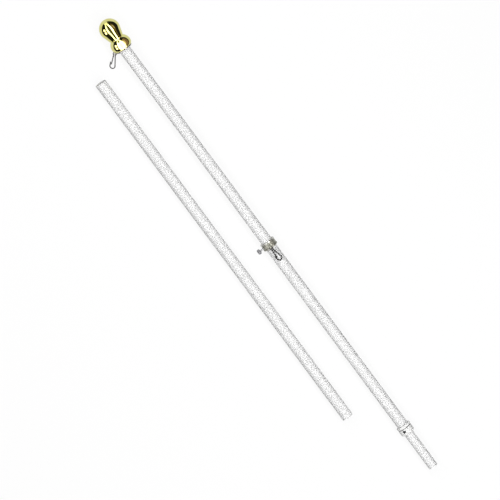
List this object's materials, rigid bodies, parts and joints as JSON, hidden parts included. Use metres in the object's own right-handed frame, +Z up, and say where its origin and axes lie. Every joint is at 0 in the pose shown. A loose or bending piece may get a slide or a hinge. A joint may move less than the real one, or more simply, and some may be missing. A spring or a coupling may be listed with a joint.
{
  "type": "two-section spinning flagpole",
  "caption": "Two-section white spinning flagpole with gold ball, snap hooks and a sliding clamp ring, laid flat with the plain lower tube beside the upper section.",
  "frame": {"origin": "bottom centre of the bounding box of the whole set, on the floor", "axes": "+X along the pole from the ball to the spindle, +Z up, +Y from the lower tube towards the upper section"},
  "size_m": [0.9115, 0.091, 0.0354],
  "materials": {
    "gold_plating": "mirror gold plating on moulded plastic",
    "white_coat": "satin white powder coat on aluminium tube",
    "hanger_steel": "dark polished steel",
    "white_plastic": "moulded white nylon",
    "black_steel": "black oxide steel",
    "cast_zinc": "die-cast zinc, olive grey",
    "screw_steel": "zinc-plated steel",
    "slate_plastic": "slate grey moulded plastic",
    "grey_wire": "grey spring steel wire",
    "black_wire": "black spring steel wire"
  },
  "bodies": {
    "upper_section": {"finial_ball": "gold_plating", "finial_base": "gold_plating", "hang_washer": "hanger_steel", "tube_ferrule": "white_plastic", "upper_tube": "white_coat", "end_bushing": "white_plastic", "lower_tube": "white_coat"},
    "spindle": {"spindle_tube": "white_coat", "stop_collar": "white_plastic", "set_screw": "black_steel"},
    "ring": {"clamp_ring": "cast_zinc"},
    "thumbscrew": {"thumbscrew_shank": "screw_steel", "thumbscrew_knob": "slate_plastic"},
    "upper_snap": {"upper_hook": "grey_wire"},
    "upper_gate": {"upper_hook_gate": "grey_wire"},
    "lower_snap": {"lower_hook": "black_wire"},
    "lower_gate": {"lower_hook_gate": "black_wire"}
  },
  "joints": [
    {"name": "spindle_spin", "type": "hinge", "parent": "upper_section", "child": "spindle", "pos_m": [0.37564, 0.02781, 0.01202], "axis": [1, 0, -0.0073], "continuous": true},
    {"name": "ring_slide", "type": "slide", "parent": "upper_section", "child": "ring", "axis": [1, 0, -0.0073], "range_m": [-0.33, 0.33]},
    {"name": "thumbscrew_turn", "type": "hinge", "parent": "ring", "child": "thumbscrew", "pos_m": [0.00028, 0.00985, 0.01956], "axis": [0.0019, -0.9659, 0.2588], "continuous": true},
    {"name": "upper_hook_swing", "type": "hinge", "parent": "upper_section", "child": "upper_snap", "pos_m": [-0.39955, 0.01057, 0.00966], "axis": [-0.0066, 0.4202, -0.9074], "range_deg": [-39, 83]},
    {"name": "upper_gate_press", "type": "hinge", "parent": "upper_snap", "child": "upper_gate", "pos_m": [-0.39721, 0.00636, 0.00769], "axis": [0.0066, -0.4202, 0.9074], "range_deg": [0, 15], "stiffness_Nm_per_rad": 0.05},
    {"name": "lower_hook_swing", "type": "hinge", "parent": "ring", "child": "lower_snap", "pos_m": [0.00236, 0.02703, 0.02961], "axis": [-0.0004, -0.9986, -0.0523], "range_deg": [0, 180]},
    {"name": "lower_gate_press", "type": "hinge", "parent": "lower_snap", "child": "lower_gate", "pos_m": [0.00958, 0.02602, 0.02841], "axis": [0.1559, -0.0518, 0.9864], "range_deg": [0, 15], "stiffness_Nm_per_rad": 0.05}
  ]
}
